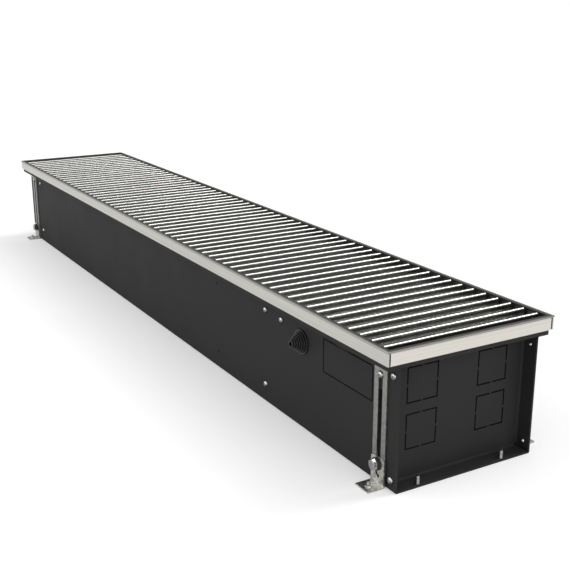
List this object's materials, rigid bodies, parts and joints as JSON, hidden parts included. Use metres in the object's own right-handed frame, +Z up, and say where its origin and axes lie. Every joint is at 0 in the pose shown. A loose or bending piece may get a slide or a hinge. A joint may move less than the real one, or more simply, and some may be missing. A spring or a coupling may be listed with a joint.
{
  "type": "trench convector heater",
  "caption": "Fan-assisted trench convector heater: black trough, aluminium frame, roll-up cross-bar grille, adjustable feet.",
  "frame": {"origin": "on the floor under the middle of the trough", "axes": "+X along the trough towards the connection chamber, +Y across it to the rear wall, +Z up"},
  "size_m": [1.532, 0.2756, 0.19],
  "materials": {
    "black_sheet": "satin powder coat",
    "anodised_aluminium": "fine brushed, anodised",
    "zinc_sheet": "zinc plated",
    "screw_steel": "bright zinc",
    "black_rubber": "matte",
    "copper_tube": "drawn copper",
    "brass_fitting": "machined",
    "fin_sheet": "bare",
    "black_plastic": "matte",
    "grey_plastic": "matte",
    "motor_housing": "satin",
    "ivory_plastic": "matte"
  },
  "bodies": {
    "root": {"trough": "black_sheet", "end_panel_left": "black_sheet", "end_panel_right": "black_sheet", "frame_front": "anodised_aluminium", "frame_rear": "anodised_aluminium", "frame_left": "anodised_aluminium", "frame_right": "anodised_aluminium", "frame_corner_keys": "zinc_sheet", "partition_left": "zinc_sheet", "partition_right": "zinc_sheet", "air_duct": "zinc_sheet", "fan_guide_left": "zinc_sheet", "fan_guide_right": "zinc_sheet", "air_baffle": "zinc_sheet", "motor_bracket": "zinc_sheet", "guide_strip_front_left": "zinc_sheet", "guide_strip_front_right": "zinc_sheet", "guide_strip_rear_left": "zinc_sheet", "guide_strip_rear_right": "zinc_sheet", "wall_screws": "screw_steel", "rivets": "screw_steel", "rest_strip_front": "black_rubber", "rest_strip_rear": "black_rubber", "cable_grommet": "black_rubber", "bearing_mounts": "black_rubber", "exchanger_tubes": "copper_tube", "return_bends": "copper_tube", "flow_connection": "brass_fitting", "return_connection": "brass_fitting", "vent_body": "brass_fitting", "fan_bearings": "brass_fitting", "fin_pack": "fin_sheet", "fan_cable": "black_plastic", "terminal_box": "grey_plastic", "terminal_box_lid": "grey_plastic", "fan_motor": "motor_housing", "terminal_block": "ivory_plastic"},
    "foot_front_left": {"foot_front_left": "zinc_sheet", "foot_bolt_front_left": "screw_steel"},
    "foot_front_right": {"foot_front_right": "zinc_sheet", "foot_bolt_front_right": "screw_steel"},
    "foot_rear_left": {"foot_rear_left": "zinc_sheet", "foot_bolt_rear_left": "screw_steel"},
    "foot_rear_right": {"foot_rear_right": "zinc_sheet", "foot_bolt_rear_right": "screw_steel"},
    "foot_screw_front_left": {"foot_screw_front_left": "screw_steel"},
    "foot_screw_front_right": {"foot_screw_front_right": "screw_steel"},
    "foot_screw_rear_left": {"foot_screw_rear_left": "screw_steel"},
    "foot_screw_rear_right": {"foot_screw_rear_right": "screw_steel"},
    "levelling_screw_front_left": {"levelling_screw_front_left": "screw_steel"},
    "levelling_screw_front_right": {"levelling_screw_front_right": "screw_steel"},
    "levelling_screw_rear_left": {"levelling_screw_rear_left": "screw_steel"},
    "levelling_screw_rear_right": {"levelling_screw_rear_right": "screw_steel"},
    "grille": {"grille_bars": "anodised_aluminium", "grille_spacers": "black_plastic", "grille_springs": "screw_steel"},
    "fan_rotor": {"fan_shaft": "screw_steel", "impeller_left": "black_plastic", "impeller_right": "black_plastic"},
    "vent_screw": {"vent_screw": "brass_fitting"}
  },
  "joints": [
    {"name": "foot_front_left_height", "type": "slide", "parent": "root", "child": "foot_front_left", "axis": [0, 0, 1], "range_m": [-0.015, 0.09]},
    {"name": "foot_front_right_height", "type": "slide", "parent": "root", "child": "foot_front_right", "axis": [0, 0, 1], "range_m": [-0.015, 0.09]},
    {"name": "foot_rear_left_height", "type": "slide", "parent": "root", "child": "foot_rear_left", "axis": [0, 0, 1], "range_m": [-0.015, 0.09]},
    {"name": "foot_rear_right_height", "type": "slide", "parent": "root", "child": "foot_rear_right", "axis": [0, 0, 1], "range_m": [-0.015, 0.09]},
    {"name": "foot_screw_front_left_turn_down", "type": "slide", "parent": "foot_front_left", "child": "foot_screw_front_left", "axis": [0, 0, 1], "range_m": [-0.004, 0]},
    {"name": "foot_screw_front_right_turn_down", "type": "slide", "parent": "foot_front_right", "child": "foot_screw_front_right", "axis": [0, 0, 1], "range_m": [-0.004, 0]},
    {"name": "foot_screw_rear_left_turn_down", "type": "slide", "parent": "foot_rear_left", "child": "foot_screw_rear_left", "axis": [0, 0, 1], "range_m": [-0.004, 0]},
    {"name": "foot_screw_rear_right_turn_down", "type": "slide", "parent": "foot_rear_right", "child": "foot_screw_rear_right", "axis": [0, 0, 1], "range_m": [-0.004, 0]},
    {"name": "levelling_screw_front_left_turn_down", "type": "slide", "parent": "root", "child": "levelling_screw_front_left", "axis": [0, 0, 1], "range_m": [-0.008, 0]},
    {"name": "levelling_screw_front_right_turn_down", "type": "slide", "parent": "root", "child": "levelling_screw_front_right", "axis": [0, 0, 1], "range_m": [-0.008, 0]},
    {"name": "levelling_screw_rear_left_turn_down", "type": "slide", "parent": "root", "child": "levelling_screw_rear_left", "axis": [0, 0, 1], "range_m": [-0.008, 0]},
    {"name": "levelling_screw_rear_right_turn_down", "type": "slide", "parent": "root", "child": "levelling_screw_rear_right", "axis": [0, 0, 1], "range_m": [-0.008, 0]},
    {"name": "grille_lift", "type": "slide", "parent": "root", "child": "grille", "axis": [0, 0, 1], "range_m": [0, 0.15]},
    {"name": "fan_spin", "type": "hinge", "parent": "root", "child": "fan_rotor", "pos_m": [0, -0.062, 0.075], "axis": [1, 0, 0], "continuous": true},
    {"name": "vent_screw_turn", "type": "hinge", "parent": "root", "child": "vent_screw", "pos_m": [0.44, 0.07, 0.11], "axis": [0, 0, 1], "range_deg": [0, 180]}
  ]
}
